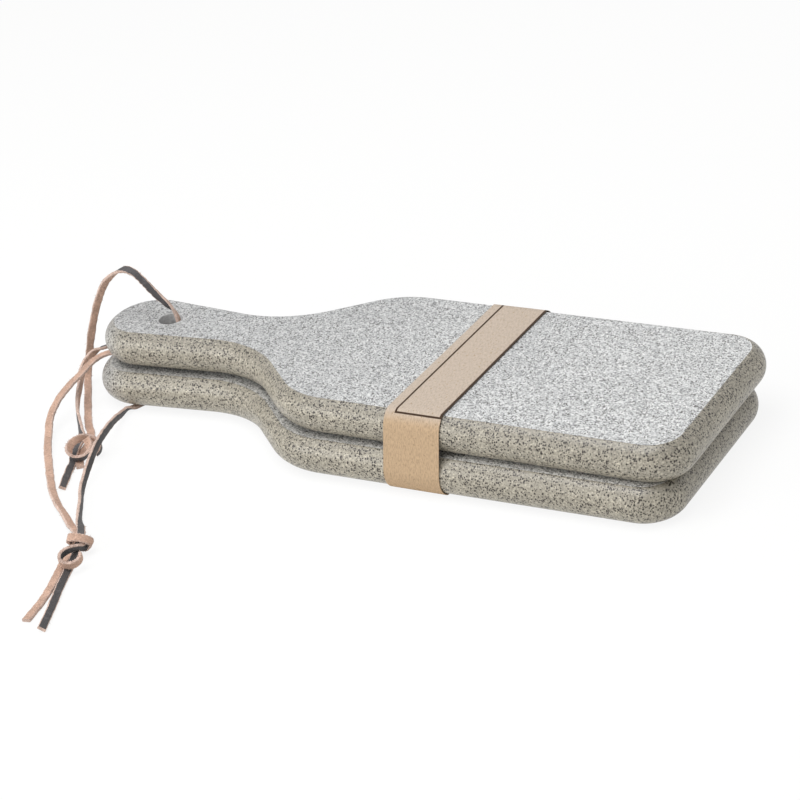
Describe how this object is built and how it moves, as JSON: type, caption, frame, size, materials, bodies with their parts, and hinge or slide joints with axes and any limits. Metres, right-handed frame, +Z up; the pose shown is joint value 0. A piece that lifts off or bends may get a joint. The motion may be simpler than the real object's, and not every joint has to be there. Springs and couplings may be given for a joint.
{
  "type": "stone serving board set",
  "caption": "Stacked stone paddle boards with a bullnose edge and a hanging hole in each handle, held by a paper band, with knotted leather thongs.",
  "frame": {"origin": "middle of the stack's box in plan, on the surface that it stands on, cords left out", "axes": "+X from the handles to the blade ends, +Y across the blades, +Z up"},
  "size_m": [0.2936, 0.2239, 0.0556],
  "materials": {
    "stone": "honed, speckled grey with dark flecks",
    "paper": "plain brown wrapping paper with a ruled border",
    "leather": "charcoal grain on one side, tan flesh on the other"
  },
  "bodies": {
    "lower_board_and_thong": {"lower_board": "stone", "lower_thong_top_run": "leather", "lower_thong_under_run": "leather", "lower_thong_front_run": "leather", "lower_thong_knot": "leather"},
    "upper_board_and_thong": {"upper_board": "stone", "upper_thong_arch": "leather", "upper_thong_return": "leather", "upper_thong_knot": "leather"},
    "band": {"paper_band": "paper"}
  },
  "joints": [
    {"name": "band_slide", "type": "slide", "parent": "lower_board_and_thong", "child": "band", "axis": [1, 0, -0.0086], "range_m": [-0.02, 0.13]},
    {"name": "upper_board_slide", "type": "slide", "parent": "lower_board_and_thong", "child": "upper_board_and_thong", "axis": [-0.9999, 0, 0.0116], "range_m": [0, 0.3], "deforming": ["upper_thong_arch", "upper_thong_return", "upper_thong_knot"]}
  ]
}
